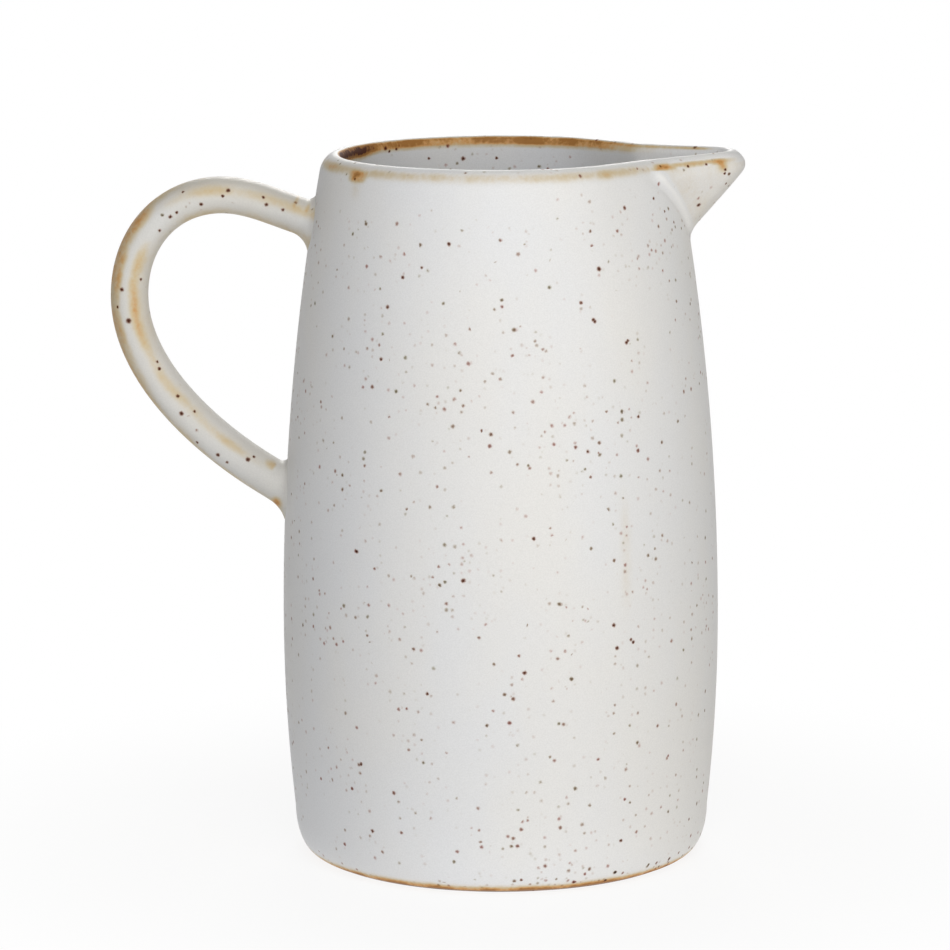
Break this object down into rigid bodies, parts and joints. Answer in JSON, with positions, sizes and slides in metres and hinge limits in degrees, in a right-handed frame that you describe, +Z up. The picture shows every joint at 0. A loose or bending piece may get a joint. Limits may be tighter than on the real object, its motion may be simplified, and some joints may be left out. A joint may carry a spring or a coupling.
{
  "type": "ceramic milk jug",
  "caption": "Tall barrel-shaped stoneware jug with a pulled pouring spout and an ear-shaped strap handle, for pouring milk or water.",
  "frame": {"origin": "on the axis of the round body, on the flat underside of the base", "axes": "+Z up along the body's axis, +X towards the spout, -X towards the handle, so the jug is the same on both sides of the plane y = 0"},
  "size_m": [0.1795, 0.124, 0.2006],
  "materials": {
    "glazed_stoneware": "satin cream glaze with iron speckles, breaking to ochre on edges",
    "bare_clay": "matte, unglazed"
  },
  "bodies": {
    "root": {"body_wall": "glazed_stoneware", "base_disc": "bare_clay", "spout": "glazed_stoneware", "spout_seam": "glazed_stoneware", "handle": "glazed_stoneware", "upper_collar": "glazed_stoneware", "lower_collar": "glazed_stoneware"}
  },
  "joints": []
}
